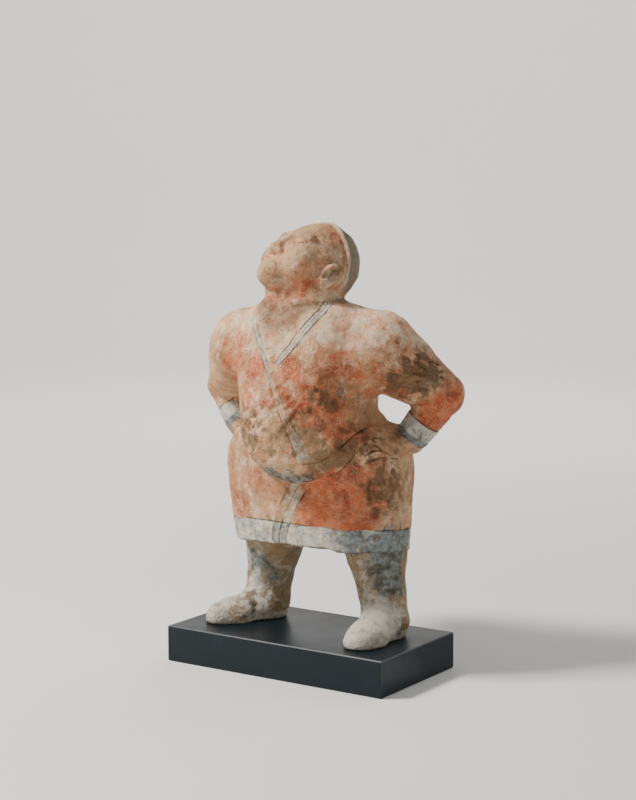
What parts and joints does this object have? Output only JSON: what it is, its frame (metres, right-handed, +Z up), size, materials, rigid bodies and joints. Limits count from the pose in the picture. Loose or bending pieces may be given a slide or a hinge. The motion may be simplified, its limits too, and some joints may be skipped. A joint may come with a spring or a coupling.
{
  "type": "entertainer tomb figure",
  "caption": "Stout standing figure of moulded painted earthenware, hands on hips and head thrown back, in a robe to the knee, on a low black rectangular base.",
  "frame": {"origin": "middle of the base's underside", "axes": "+Z up, the figure faces -Y, and its own left side is +X"},
  "size_m": [0.3589, 0.1977, 0.5322],
  "materials": {
    "painted_earthenware": "unglazed fired clay, no plastic: matte buff and cream slip with worn red and blue-grey paint",
    "black_base": "painted blue-black, satin"
  },
  "bodies": {
    "root": {"figure": "painted_earthenware", "display_base": "black_base"}
  },
  "joints": []
}
